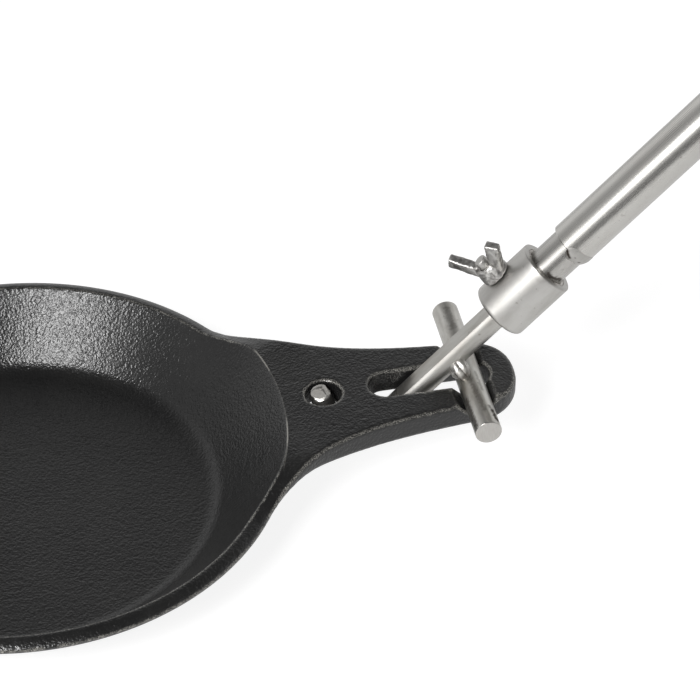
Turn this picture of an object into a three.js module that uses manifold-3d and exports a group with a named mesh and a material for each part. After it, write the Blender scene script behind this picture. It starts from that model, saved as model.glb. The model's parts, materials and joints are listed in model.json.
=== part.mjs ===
// A campfire frying pan: a cast-iron pan with a short slotted handle stub, and a long steel handle that
// hooks on to it. A bent rod goes down through the slot, under the stub and up into a round hole, and a
// cross bar welded under the rod lies in a groove across the stub and carries the load.
// Millimetres and degrees. The origin is the middle of the pan's underside, +X runs out along the stub
// and +Z is up.

import * as THREE from 'three';
import { mergeVertices } from 'three/addons/utils/BufferGeometryUtils.js';
import Module from 'manifold-3d';

const wasm = await Module();
wasm.setup();

// General fits
const FIT = 0.3; // gap between two steel pieces that touch on the real object
const ROUND_STEPS = 96; // facets round the bowl
const BAR_STEPS = 28; // facets round the rod, the bar and the screw
const TUBE_STEPS = 40; // facets round the collar and the tubes

// Pan bowl
const FLOOR_RADIUS = 89; // where the wall would meet the flat floor without its fillet
const FLOOR_THICKNESS = 5;
const FLOOR_FILLET = 11; // radius between the floor and the wall
const WALL_THICKNESS = 4.6;
const WALL_ANGLE = 49.3; // slope of the wall above horizontal
const BASE_FILLET = 5; // radius between the underside and the outer wall
const RIM_HEIGHT = 34.4; // underside to the inner edge of the rim
const RIM_WIDTH = 6.5; // inner edge to outer edge of the rim band
const RIM_FALL = 2.5; // how far the rim band falls toward its outer edge
const RIM_DEPTH = 7.4; // height of the thickened rim

// Handle stub of the pan
const STUB_TOP = 44; // underside of the pan to the flat top of the stub
const STUB_THICKNESS = 12;
const STUB_END = 227.6; // bowl centre to the end of the stub's head
const STUB_HALF_WIDTH = 21.4; // at the groove
const STUB_HEAD_POWER = 2.35; // squareness of the head's oval end
const STUB_TANGENT_ANGLE = 37; // where the stub's edge leaves the rim
const STUB_RISE_START = 36; // the top starts to rise out of the rim at this angle from the stub
const STUB_RISE_END = 16; // and has risen fully at this one
const STUB_EDGE = 1.7; // rounding of the stub's top and bottom edges
const STUB_SAG = 1.5; // the stub's top is this much lower at the bowl than at the hole
const STUB_ROOT = 9; // depth of the swelling under the middle of the stub's root
const STUB_ROOT_EDGE = 2; // thickness of the stub's edge where it leaves the rim
const STUB_THIN_END = 7; // the edge has its full thickness within this angle of the stub
const STUB_THIN_START = 32; // and its least thickness from this one on
const STUB_HEAD_UNDER = 5.5; // rounding of the lower edge at the stub's end

// Hole, slot and groove in the stub
const HOLE_X = 140;
const HOLE_RADIUS = 8.2;
const SLOT_START = 160.7;
const SLOT_END = 216.2;
const SLOT_HALF_WIDTH = 8;
const OPENING_EDGE = 1.1; // rounding round the hole and the slot
const GROOVE_SHOULDER = 2.2; // rounding where the groove's sides meet the stub's top

// Hook rod and cross bar
const BAR_X = 206;
const BAR_DEPTH = 0.3; // the bar's axis lies this far below the stub's top
const BAR_RADIUS = 6;
const BAR_LENGTH = 85.4;
const HOOK_SIDE = 1.5; // the hook lies this far off the middle of the slot
const ROD_RADIUS = 6;
const ROD_ANGLE = 45.9; // the handle's slope above horizontal when it is hooked on
const ROD_INSERT = 118; // the rod's upper end, measured from the bar along the handle
const BEND_RADIUS = 18.8; // centre-line radius of the hook's bend
const TIP_LEAN = 12; // the tip leans this far from upright, toward the bowl
const TIP_LENGTH = 8; // straight end of the hook
const TIP_OFFSET = 1.4; // the tip's end lies this far from the hole's middle, toward the bowl
const TIP_RADIUS = 4.2; // the tip tapers to this
const TIP_TAPER = 20; // length of the taper, along the rod
const FLAT_DEPTH = 1.5; // depth of the flat milled on the rod
const FLAT_START = -28; // the flat's lower end, from the bar along the handle
const FLAT_LEAN = 5; // the flat is turned this far round the rod

// Collar and clamp screw
const COLLAR_START = 32.5; // from the bar along the handle
const COLLAR_LENGTH = 30.7;
const COLLAR_RADIUS = 13.6;
const COLLAR_EDGE = 2.4; // rounding of the collar's lower edge
const COLLAR_SEAT = 11; // depth of the socket that takes the inner tube
const SCREW_PLACE = 13.6; // screw axis, from the collar's lower end
const SCREW_RADIUS = 3;
const SCREW_REACH = 25.1; // rod axis to the screw's outer end
const SCREW_LEAN = 13; // the screw's axis is turned this far round the rod
const WING_REST = -37; // the wings' angle round the screw from the handle's direction
const HUB_RADIUS = 6.8;
const HUB_TOP_RADIUS = 5.6;
const HUB_HEIGHT = 7.4;
const WING_SPAN = 31; // between the middles of the wings' ends
const WING_RISE = 16.3; // hub's base to the middle of a wing's end
const WING_WIDTH = 6.4;
const WING_THICKNESS = 3.6;

// Tubes
const INNER_TUBE_RADIUS = 9;
const OUTER_TUBE_RADIUS = 10.5;
const TUBE_WALL = 1.2;
const OUTER_TUBE_START = 78.8; // from the bar along the handle
const OUTER_TUBE_LENGTH = 350;
const TUBE_OVERLAP = 42; // how far the inner tube reaches into the outer one
const PATCH_LENGTH = 3.8; // how far the weld patch runs over the outer tube
const PATCH_FOOT = 3.3; // and over the inner tube
const PATCH_PROUD = 0.15; // it stands this far proud of the outer tube
const PATCH_SPREAD = 84; // the patch's share of the circle
const PATCH_TURN = 14; // the patch's middle, below the tube's near side
const PLUG_DEPTH = 14;
const PLUG_HEAD = 3;

// Sizes that follow from the ones above
const cot = (degrees) => 1 / Math.tan(THREE.MathUtils.degToRad(degrees));
const wallRadius = (height) => FLOOR_RADIUS + (height - FLOOR_THICKNESS) * cot(WALL_ANGLE);
const WALL_STEP = WALL_THICKNESS / Math.sin(THREE.MathUtils.degToRad(WALL_ANGLE));
const RIDGE_RADIUS = wallRadius(RIM_HEIGHT);
const RIM_RADIUS = RIDGE_RADIUS + RIM_WIDTH;
const BAR_HEIGHT = STUB_TOP - BAR_DEPTH;
const ROD_LIFT = BAR_RADIUS + ROD_RADIUS + FIT;
const TUBE_BORE = OUTER_TUBE_RADIUS - TUBE_WALL;
const COLLAR_END = COLLAR_START + COLLAR_LENGTH;
const OUTER_TUBE_END = OUTER_TUBE_START + OUTER_TUBE_LENGTH;

// Materials, one for each piece
function material(color, roughness, metalness) {
  return new THREE.MeshStandardMaterial({ color, roughness, metalness });
}

// Turns a closed geometry into a solid that can be joined and cut.
function solidOf(geometry) {
  const bare = geometry.clone();
  bare.deleteAttribute('normal');
  bare.deleteAttribute('uv');
  const merged = mergeVertices(bare, 1e-4);
  const points = merged.getAttribute('position');
  const faces = [];
  let volume = 0;
  const corner = [new THREE.Vector3(), new THREE.Vector3(), new THREE.Vector3()];
  for (let i = 0; i < merged.index.count; i += 3) {
    const ids = [0, 1, 2].map((k) => merged.index.getX(i + k));
    if (ids[0] === ids[1] || ids[1] === ids[2] || ids[2] === ids[0]) continue;
    faces.push(ids);
    ids.forEach((id, k) => corner[k].fromBufferAttribute(points, id));
    volume += corner[0].dot(corner[1].clone().cross(corner[2]));
  }
  const ordered = volume < 0 ? faces.map(([a, b, c]) => [a, c, b]) : faces;
  const triVerts = new Uint32Array(ordered.flat());
  const vertProperties = new Float32Array(points.array);
  return new wasm.Manifold(new wasm.Mesh({ numProp: 3, vertProperties, triVerts }));
}

// Turns a solid back into a geometry with one flat normal for each face.
function geometryOf(solid) {
  const mesh = solid.getMesh();
  const indexed = new THREE.BufferGeometry();
  indexed.setAttribute('position', new THREE.BufferAttribute(Float32Array.from(mesh.vertProperties), 3));
  indexed.setIndex(Array.from(mesh.triVerts));
  const flat = indexed.toNonIndexed();
  flat.computeVertexNormals();
  return flat;
}

// Revolves a profile of [radius, height] pairs round the Z axis.
function turned(profile, steps) {
  const points = profile.map(([radius, height]) => new THREE.Vector2(radius, height));
  return new THREE.LatheGeometry(points, steps).rotateX(Math.PI / 2);
}

// Revolves a profile of [radius, place] pairs round the X axis, the handle's own direction.
function turnedAlongX(profile, steps) {
  return turned(profile, steps).rotateY(Math.PI / 2);
}

// A closed skin over a row of equal rings, with a flat fan at each end.
function lofted(rings) {
  const count = rings[0].length;
  const positions = [];
  const index = [];
  rings.forEach((ring) => ring.forEach((p) => positions.push(p.x, p.y, p.z)));
  for (let i = 0; i + 1 < rings.length; i++) {
    for (let j = 0; j < count; j++) {
      const a = i * count + j;
      const b = i * count + ((j + 1) % count);
      index.push(a, b, b + count, a, b + count, a + count);
    }
  }
  [0, rings.length - 1].forEach((i) => {
    const middle = new THREE.Vector3();
    rings[i].forEach((p) => middle.addScaledVector(p, 1 / count));
    const hub = positions.length / 3;
    positions.push(middle.x, middle.y, middle.z);
    for (let j = 0; j < count; j++) {
      const a = i * count + j;
      const b = i * count + ((j + 1) % count);
      if (i === 0) index.push(hub, b, a);
      else index.push(hub, a, b);
    }
  });
  const geometry = new THREE.BufferGeometry();
  geometry.setAttribute('position', new THREE.Float32BufferAttribute(positions, 3));
  geometry.setIndex(index);
  return geometry;
}

// A slab between an upper and a lower grid of points that share their plan positions.
function slab(upper, lower) {
  const rows = upper.length;
  const columns = upper[0].length;
  const positions = [];
  [upper, lower].forEach((grid) => grid.forEach((row) => row.forEach((p) => positions.push(p.x, p.y, p.z))));
  const at = (side, i, j) => side * rows * columns + i * columns + j;
  const index = [];
  const quad = (a, b, c, d) => index.push(a, b, c, a, c, d);
  for (let i = 0; i + 1 < rows; i++) {
    for (let j = 0; j + 1 < columns; j++) {
      quad(at(0, i, j), at(0, i + 1, j), at(0, i + 1, j + 1), at(0, i, j + 1));
      quad(at(1, i, j), at(1, i, j + 1), at(1, i + 1, j + 1), at(1, i + 1, j));
    }
    quad(at(1, i, 0), at(1, i + 1, 0), at(0, i + 1, 0), at(0, i, 0));
    quad(at(0, i, columns - 1), at(0, i + 1, columns - 1), at(1, i + 1, columns - 1), at(1, i, columns - 1));
  }
  for (let j = 0; j + 1 < columns; j++) {
    quad(at(0, 0, j), at(0, 0, j + 1), at(1, 0, j + 1), at(1, 0, j));
    quad(at(1, rows - 1, j), at(1, rows - 1, j + 1), at(0, rows - 1, j + 1), at(0, rows - 1, j));
  }
  const geometry = new THREE.BufferGeometry();
  geometry.setAttribute('position', new THREE.Float32BufferAttribute(positions, 3));
  geometry.setIndex(index);
  return geometry;
}

// Points of an arc in a plane, from one angle to another.
function arc(cx, cy, radius, from, to, steps) {
  const points = [];
  for (let i = 0; i <= steps; i++) {
    const t = THREE.MathUtils.degToRad(from + ((to - from) * i) / steps);
    points.push([cx + radius * Math.cos(t), cy + radius * Math.sin(t)]);
  }
  return points;
}

const smooth = (low, high, value) => THREE.MathUtils.smoothstep(value, low, high);

// The bowl's filled outer form: flat underside, sloping wall and a rim band that falls outward.
function bowlOutside() {
  const half = THREE.MathUtils.degToRad(WALL_ANGLE / 2);
  const baseCorner = wallRadius(0) + WALL_STEP - BASE_FILLET * Math.tan(half);
  const rimOuterHeight = RIM_HEIGHT - RIM_FALL;
  const wallTop = RIM_HEIGHT - RIM_DEPTH;
  const profile = [[0, 0]];
  profile.push(...arc(baseCorner, BASE_FILLET, BASE_FILLET, -90, -90 + WALL_ANGLE, 4));
  profile.push([wallRadius(wallTop) + WALL_STEP, wallTop]);
  const bead = new THREE.CubicBezierCurve(
    new THREE.Vector2(wallRadius(wallTop) + WALL_STEP, wallTop),
    new THREE.Vector2(RIM_RADIUS - RIM_WIDTH * 0.35, wallTop + RIM_DEPTH * 0.18),
    new THREE.Vector2(RIM_RADIUS, rimOuterHeight - RIM_DEPTH * 0.35),
    new THREE.Vector2(RIM_RADIUS, rimOuterHeight - RIM_FALL * 0.2),
  );
  bead.getPoints(5).slice(1).forEach((p) => profile.push([p.x, p.y]));
  for (let i = 0; i <= 4; i++) {
    const share = 1 - i / 4;
    profile.push([RIDGE_RADIUS + RIM_WIDTH * Math.pow(share, 0.8), rimBandHeight(share)]);
  }
  profile.push([0, RIM_HEIGHT]);
  return turned(profile, ROUND_STEPS);
}

// Height of the rim band at a share of its width from the inner edge.
function rimBandHeight(share) {
  return RIM_HEIGHT - RIM_FALL * Math.pow(share, 1.6);
}

// The hollow of the bowl: floor, fillet and a wall that runs on up through the stub's root.
function bowlHollow() {
  const half = THREE.MathUtils.degToRad(WALL_ANGLE / 2);
  const floorEdge = FLOOR_RADIUS - FLOOR_FILLET * Math.tan(half);
  const top = STUB_TOP + 10;
  const profile = [[0, FLOOR_THICKNESS]];
  profile.push(...arc(floorEdge, FLOOR_THICKNESS + FLOOR_FILLET, FLOOR_FILLET, -90, -90 + WALL_ANGLE, 6));
  profile.push([wallRadius(top), top]);
  profile.push([0, top]);
  return turned(profile, ROUND_STEPS);
}

// The stub's edge in plan, from its tangent point on the rim to the start of the head.
const stubEdge = (() => {
  const turn = THREE.MathUtils.degToRad(STUB_TANGENT_ANGLE);
  const seat = RIM_RADIUS - 0.9;
  const start = new THREE.Vector2(seat * Math.cos(turn), seat * Math.sin(turn));
  const reach = BAR_X - start.x;
  return new THREE.CubicBezierCurve(
    start,
    new THREE.Vector2(start.x + 0.252 * reach, start.y - 0.334 * reach),
    new THREE.Vector2(BAR_X - 0.51 * reach, STUB_HALF_WIDTH + 0.04 * reach),
    new THREE.Vector2(BAR_X, STUB_HALF_WIDTH),
  );
})();

// Half the stub's width at a distance from the bowl's centre.
function stubHalfWidth(x) {
  const start = stubEdge.v0;
  if (x <= start.x) return Math.sqrt(start.lengthSq() - x * x);
  if (x >= BAR_X) {
    const share = Math.min((x - BAR_X) / (STUB_END - BAR_X), 1);
    return STUB_HALF_WIDTH * Math.pow(1 - Math.pow(share, STUB_HEAD_POWER), 1 / STUB_HEAD_POWER);
  }
  let low = 0;
  let high = 1;
  for (let i = 0; i < 40; i++) {
    const middle = (low + high) / 2;
    if (stubEdge.getPoint(middle).x < x) low = middle;
    else high = middle;
  }
  return stubEdge.getPoint(low).y;
}

// Distance from a point of the stub's plan to its edge.
function edgeDistance(x, y) {
  if (x > BAR_X) {
    const along = (x - BAR_X) / (STUB_END - BAR_X);
    const across = Math.abs(y) / STUB_HALF_WIDTH;
    const oval = Math.pow(Math.pow(along, STUB_HEAD_POWER) + Math.pow(across, STUB_HEAD_POWER), 1 / STUB_HEAD_POWER);
    return Math.max(0, (1 - oval) * STUB_HALF_WIDTH);
  }
  const slope = stubHalfWidth(x + 0.5) - stubHalfWidth(x - 0.5);
  return Math.max(0, (stubHalfWidth(x) - Math.abs(y)) / Math.hypot(1, slope));
}

// How far a rounded edge has fallen at a distance from the side.
function edgeFall(distance, radius) {
  if (distance >= radius) return 0;
  return radius - Math.sqrt(radius * radius - (radius - distance) * (radius - distance));
}

// The stub: a flat plate with rounded edges whose flanks sink into the rim on both sides.
function stubBody() {
  const shares = [0, 0.006, 0.02, 0.045, 0.09, 0.18, 0.32, 0.5, 0.72, 1];
  const across = [...shares.map((s) => s - 1), ...shares.slice(0, -1).reverse().map((s) => 1 - s)];
  const stations = [];
  const rootStart = stubEdge.v0.x - 3;
  for (let i = 0; i < 26; i++) stations.push(rootStart + ((BAR_X - rootStart) * i) / 26);
  for (let i = 0; i <= 9; i++) {
    const share = Math.sin((Math.PI / 2) * (i / 9) * 0.97);
    stations.push(BAR_X + (STUB_END - BAR_X) * Math.min(share * 1.0011, 0.9995));
  }
  const upper = [];
  const lower = [];
  stations.forEach((x) => {
    const width = stubHalfWidth(x);
    const top = [];
    const bottom = [];
    across.forEach((share) => {
      const y = share * width;
      const radius = Math.hypot(x, y);
      const angle = THREE.MathUtils.radToDeg(Math.atan2(Math.abs(y), x));
      const rise = 1 - smooth(STUB_RISE_END, STUB_RISE_START, angle);
      const band = THREE.MathUtils.clamp((radius - RIDGE_RADIUS) / RIM_WIDTH, 0, 1);
      const plate = STUB_TOP - STUB_SAG * (1 - smooth(RIM_RADIUS, RIM_RADIUS + 22, radius));
      const round = STUB_EDGE * rise;
      const fall = edgeFall(edgeDistance(x, y), round);
      const underRound = THREE.MathUtils.lerp(round, STUB_HEAD_UNDER, smooth(BAR_X, STUB_END, x));
      const underFall = edgeFall(edgeDistance(x, y), underRound);
      const inward = smooth(0, STUB_THICKNESS, edgeDistance(x, y));
      const root = STUB_ROOT * rise * inward * (1 - smooth(RIM_RADIUS - 6, RIM_RADIUS + 16, radius));
      const rim = rimBandHeight(band) - 0.15;
      const surface = THREE.MathUtils.lerp(rim, plate, rise);
      const full = plate - (STUB_TOP - STUB_THICKNESS);
      const depth = THREE.MathUtils.lerp(full, STUB_ROOT_EDGE, smooth(STUB_THIN_END, STUB_THIN_START, angle));
      top.push(new THREE.Vector3(x, y, surface - fall));
      bottom.push(new THREE.Vector3(x, y, surface - depth - root + underFall));
    });
    upper.push(top);
    lower.push(bottom);
  });
  return slab(upper, lower);
}

// A cutter that follows an outline straight down and flares at the stub's two faces.
function flaredCut(outline) {
  const top = STUB_TOP;
  const bottom = STUB_TOP - STUB_THICKNESS;
  const flare = [];
  const steps = 4;
  for (let i = 0; i <= steps; i++) {
    const t = ((Math.PI / 2) * i) / steps;
    flare.push([OPENING_EDGE * (1 - Math.sin(t)), OPENING_EDGE * (1 - Math.cos(t))]);
  }
  const levels = [[bottom - 3, OPENING_EDGE + 0.6]];
  flare.slice().reverse().forEach(([depth, grow]) => levels.push([bottom + depth, grow]));
  flare.forEach(([depth, grow]) => levels.push([top - depth, grow]));
  levels.push([top + 3, OPENING_EDGE + 0.6]);
  return lofted(levels.map(([z, grow]) => outline(grow).map(([x, y]) => new THREE.Vector3(x, y, z))));
}

const holeOutline = (grow) => arc(HOLE_X, 0, HOLE_RADIUS + grow, 0, 360, 36).slice(0, -1);

const slotOutline = (grow) => [
  ...arc(SLOT_END - SLOT_HALF_WIDTH, 0, SLOT_HALF_WIDTH + grow, -90, 90, 14),
  ...arc(SLOT_START + SLOT_HALF_WIDTH, 0, SLOT_HALF_WIDTH + grow, 90, 270, 14),
];

// The groove for the cross bar: two 45 degree sides that hold the bar, with a small round bottom.
function grooveCut() {
  const seat = BAR_RADIUS + FIT;
  const apex = BAR_HEIGHT - seat * Math.SQRT2;
  const bottomRadius = seat * 0.45;
  const halfTop = STUB_TOP - apex;
  const soft = GROOVE_SHOULDER * Math.tan(Math.PI / 8);
  const side = [];
  side.push([halfTop + soft + 6, STUB_TOP + 8]);
  side.push([halfTop + soft + 2.2, STUB_TOP + 1.6]);
  arc(halfTop + soft, STUB_TOP - GROOVE_SHOULDER, GROOVE_SHOULDER, 90, 135, 4).forEach((p) => side.push(p));
  arc(0, apex + bottomRadius * Math.SQRT2, bottomRadius, -45, -90, 4).forEach((p) => side.push(p));
  const shape = new THREE.Shape();
  side.forEach(([x, z], i) => (i === 0 ? shape.moveTo(x, z) : shape.lineTo(x, z)));
  side.slice(0, -1).reverse().forEach(([x, z]) => shape.lineTo(-x, z));
  const width = 4 * STUB_HALF_WIDTH;
  const cut = new THREE.ExtrudeGeometry(shape, { depth: width, bevelEnabled: false });
  return cut.rotateX(Math.PI / 2).translate(BAR_X, width / 2, 0);
}

function pan() {
  const body = solidOf(bowlOutside()).add(solidOf(stubBody()));
  const hollowed = body.subtract(solidOf(bowlHollow()));
  const holed = hollowed.subtract(solidOf(flaredCut(holeOutline))).subtract(solidOf(flaredCut(slotOutline)));
  return geometryOf(holed.subtract(solidOf(grooveCut())));
}

// The handle's pieces are made in the handle's own frame. Its origin is the middle of the cross bar, +X runs
// up along the handle, +Y is the pan's +Y and the rod's axis lies at height ROD_LIFT.

// The bend's angle and where it starts along the handle, so that the tip's end stands in the hole.
function bend() {
  const slope = THREE.MathUtils.degToRad(ROD_ANGLE);
  const turn = slope + Math.PI / 2 - THREE.MathUtils.degToRad(TIP_LEAN);
  const along = -BEND_RADIUS * Math.sin(turn) - TIP_LENGTH * Math.cos(turn);
  const up = ROD_LIFT + BEND_RADIUS - BEND_RADIUS * Math.cos(turn) + TIP_LENGTH * Math.sin(turn);
  const tip = HOLE_X - TIP_OFFSET - BAR_X;
  const start = (tip + up * Math.sin(slope)) / Math.cos(slope) - along;
  return { turn, start };
}

function hookRod() {
  const { turn, start } = bend();
  const centre = new THREE.Vector2(start, ROD_LIFT + BEND_RADIUS);
  const stations = [];
  for (let i = 0; i <= 4; i++) {
    const run = TIP_LENGTH * (1 - i / 4);
    const x = centre.x - BEND_RADIUS * Math.sin(turn) - run * Math.cos(turn);
    const z = centre.y - BEND_RADIUS * Math.cos(turn) + run * Math.sin(turn);
    stations.push({ x, z, angle: turn, left: TIP_LENGTH - run });
  }
  const steps = 16;
  for (let i = 1; i <= steps; i++) {
    const angle = turn * (1 - i / steps);
    const x = centre.x - BEND_RADIUS * Math.sin(angle);
    const z = centre.y - BEND_RADIUS * Math.cos(angle);
    stations.push({ x, z, angle, left: TIP_LENGTH + BEND_RADIUS * (turn - angle) });
  }
  stations.push({ x: ROD_INSERT, z: ROD_LIFT, angle: 0, left: TIP_TAPER * 9 });
  const rings = stations.map(({ x, z, angle, left }) => {
    const taper = Math.min(left / TIP_TAPER, 1);
    const radius = THREE.MathUtils.lerp(TIP_RADIUS, ROD_RADIUS, Math.sin((Math.PI / 2) * taper));
    return arc(0, 0, radius, 0, 360, BAR_STEPS).slice(0, -1).map(([u, v]) => new THREE.Vector3(
      x + v * Math.sin(angle),
      u,
      z + v * Math.cos(angle),
    ));
  });
  const rod = solidOf(lofted(rings));
  const flatLength = ROD_INSERT - FLAT_START + 5;
  const cut = new THREE.BoxGeometry(flatLength, 4 * ROD_RADIUS, ROD_RADIUS);
  cut.translate(FLAT_START + flatLength / 2, 0, ROD_RADIUS - FLAT_DEPTH + ROD_RADIUS / 2);
  cut.rotateX(-THREE.MathUtils.degToRad(FLAT_LEAN)).translate(0, 0, ROD_LIFT);
  return geometryOf(rod.subtract(solidOf(cut)));
}

function crossBar() {
  const half = BAR_LENGTH / 2;
  const edge = 0.4;
  const profile = [[0, -half], [BAR_RADIUS - edge, -half], [BAR_RADIUS, -half + edge]];
  profile.push([BAR_RADIUS, half - edge], [BAR_RADIUS - edge, half], [0, half]);
  return geometryOf(solidOf(turned(profile, BAR_STEPS).rotateX(Math.PI / 2)));
}

// A lump of weld in the corner between the rod and the bar, on one side of the rod.
function barWeld(side, reach) {
  const lump = new THREE.SphereGeometry(1, 20, 14).scale(4.2, reach / 2, 3.9);
  const nearest = 3;
  lump.translate(0, side * (nearest + reach / 2), BAR_RADIUS + 1.6);
  const rod = turnedAlongX([[0, -30], [ROD_RADIUS + FIT, -30], [ROD_RADIUS + FIT, 30], [0, 30]], BAR_STEPS);
  const bar = turned([[0, -30], [BAR_RADIUS + FIT, -30], [BAR_RADIUS + FIT, 30], [0, 30]], BAR_STEPS);
  const cut = solidOf(rod.translate(0, 0, ROD_LIFT)).add(solidOf(bar.rotateX(Math.PI / 2)));
  return geometryOf(solidOf(lump).subtract(cut));
}

// A straight round bore or boss along the clamp screw's axis, measured out from the rod's axis.
function alongScrew(profile) {
  const piece = turned(profile, BAR_STEPS);
  return piece.rotateX(THREE.MathUtils.degToRad(-SCREW_LEAN));
}

// The collar: it carries the inner tube, slides on the rod and holds the clamp screw.
function collar() {
  const bore = ROD_RADIUS + FIT;
  const seat = INNER_TUBE_RADIUS + FIT;
  const mouth = seat + 1.5;
  const profile = [[bore, COLLAR_START], [COLLAR_RADIUS - COLLAR_EDGE, COLLAR_START]];
  arc(COLLAR_START + COLLAR_EDGE, COLLAR_RADIUS - COLLAR_EDGE, COLLAR_EDGE, 180, 90, 4)
    .slice(1).forEach(([place, radius]) => profile.push([radius, place]));
  profile.push([COLLAR_RADIUS, COLLAR_END - 0.5], [COLLAR_RADIUS - 0.5, COLLAR_END]);
  profile.push([mouth, COLLAR_END], [seat, COLLAR_END - 2.6], [seat, COLLAR_END - COLLAR_SEAT]);
  profile.push([bore, COLLAR_END - COLLAR_SEAT], [bore, COLLAR_START]);
  const body = solidOf(turnedAlongX(profile, TUBE_STEPS));
  const radius = SCREW_RADIUS + FIT;
  const hole = alongScrew([[0, 0], [radius, 0], [radius, COLLAR_RADIUS + 5], [0, COLLAR_RADIUS + 5]]);
  return geometryOf(body.subtract(solidOf(hole.translate(COLLAR_START + SCREW_PLACE, 0, 0))));
}

// The weld that joins the inner tube to the collar, in the collar's mouth.
function collarWeld() {
  const inner = INNER_TUBE_RADIUS + FIT;
  const outer = INNER_TUBE_RADIUS + FIT + 1.1;
  const low = COLLAR_END - 1.9;
  const high = COLLAR_END + 0.2;
  const profile = [[inner, low], [inner + 0.25, low], [outer, high - 0.7], [outer - 0.5, high], [inner, high + 0.3]];
  profile.push([inner, low]);
  return geometryOf(solidOf(turnedAlongX(profile, TUBE_STEPS)));
}

function ringTube(inner, outer, start, end) {
  return turnedAlongX([[inner, start], [outer, start], [outer, end], [inner, end], [inner, start]], TUBE_STEPS);
}

function innerTube() {
  const start = COLLAR_END - COLLAR_SEAT + FIT;
  const end = OUTER_TUBE_START + TUBE_OVERLAP;
  return geometryOf(solidOf(ringTube(INNER_TUBE_RADIUS - TUBE_WALL, INNER_TUBE_RADIUS, start, end)));
}

// A wedge of the circle round the handle, on its near side, from one place to another.
function patchWedge(start, end, spread, reach) {
  const shape = new THREE.Shape();
  shape.moveTo(0, 0);
  arc(0, 0, reach, -spread / 2, spread / 2, 8).forEach(([x, y]) => shape.lineTo(x, y));
  shape.closePath();
  const wedge = new THREE.ExtrudeGeometry(shape, { depth: end - start, bevelEnabled: false });
  wedge.rotateZ(THREE.MathUtils.degToRad(PATCH_TURN));
  // The wedge's middle goes from +X to the handle's near side, and its length along the handle.
  const turn = new THREE.Matrix4().makeBasis(
    new THREE.Vector3(0, -1, 0),
    new THREE.Vector3(0, 0, -1),
    new THREE.Vector3(1, 0, 0),
  );
  return wedge.applyMatrix4(turn).translate(start, 0, 0);
}

function outerTube() {
  const tube = solidOf(ringTube(TUBE_BORE, OUTER_TUBE_RADIUS, OUTER_TUBE_START, OUTER_TUBE_END));
  const notch = patchWedge(OUTER_TUBE_START - 2, OUTER_TUBE_START + PATCH_LENGTH, PATCH_SPREAD, 20);
  return geometryOf(tube.subtract(solidOf(notch)));
}

// The weld patch that joins the two tubes, ground nearly flush.
function tubeWeld() {
  const gap = THREE.MathUtils.radToDeg(FIT / OUTER_TUBE_RADIUS);
  const inner = INNER_TUBE_RADIUS + FIT;
  const crown = OUTER_TUBE_RADIUS + PATCH_PROUD;
  const start = OUTER_TUBE_START - PATCH_FOOT;
  const end = OUTER_TUBE_START + PATCH_LENGTH - FIT;
  const profile = [[inner, start], [inner + 0.3, start], [crown - 0.2, OUTER_TUBE_START - 0.6]];
  profile.push([crown, OUTER_TUBE_START + 0.6], [crown, end], [inner, end], [inner, start]);
  const ring = solidOf(turnedAlongX(profile, TUBE_STEPS));
  return geometryOf(ring.intersect(solidOf(patchWedge(start - 1, end + 1, PATCH_SPREAD - 2 * gap, 20))));
}

function endPlug() {
  const radius = TUBE_BORE - FIT;
  const end = OUTER_TUBE_END + FIT;
  const profile = [[0, OUTER_TUBE_END - PLUG_DEPTH], [radius - 0.8, OUTER_TUBE_END - PLUG_DEPTH]];
  profile.push([radius, OUTER_TUBE_END - PLUG_DEPTH + 0.8], [radius, end], [OUTER_TUBE_RADIUS, end]);
  profile.push([OUTER_TUBE_RADIUS, end + PLUG_HEAD * 0.4], [OUTER_TUBE_RADIUS * 0.86, end + PLUG_HEAD * 0.8]);
  profile.push([OUTER_TUBE_RADIUS * 0.5, end + PLUG_HEAD], [0, end + PLUG_HEAD]);
  return geometryOf(solidOf(turnedAlongX(profile, TUBE_STEPS)));
}

// The threaded clamp screw, from the rod's flat to its rounded outer end.
function clampScrew() {
  const skew = THREE.MathUtils.degToRad(SCREW_LEAN - FLAT_LEAN);
  const start = (ROD_RADIUS - FLAT_DEPTH + FIT + SCREW_RADIUS * Math.sin(skew)) / Math.cos(skew);
  const profile = [[0, start], [SCREW_RADIUS - 0.7, start], [SCREW_RADIUS, start + 0.7]];
  profile.push([SCREW_RADIUS, SCREW_REACH - 0.8], [SCREW_RADIUS - 0.8, SCREW_REACH], [0, SCREW_REACH]);
  return geometryOf(solidOf(turned(profile, BAR_STEPS)));
}

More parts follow.
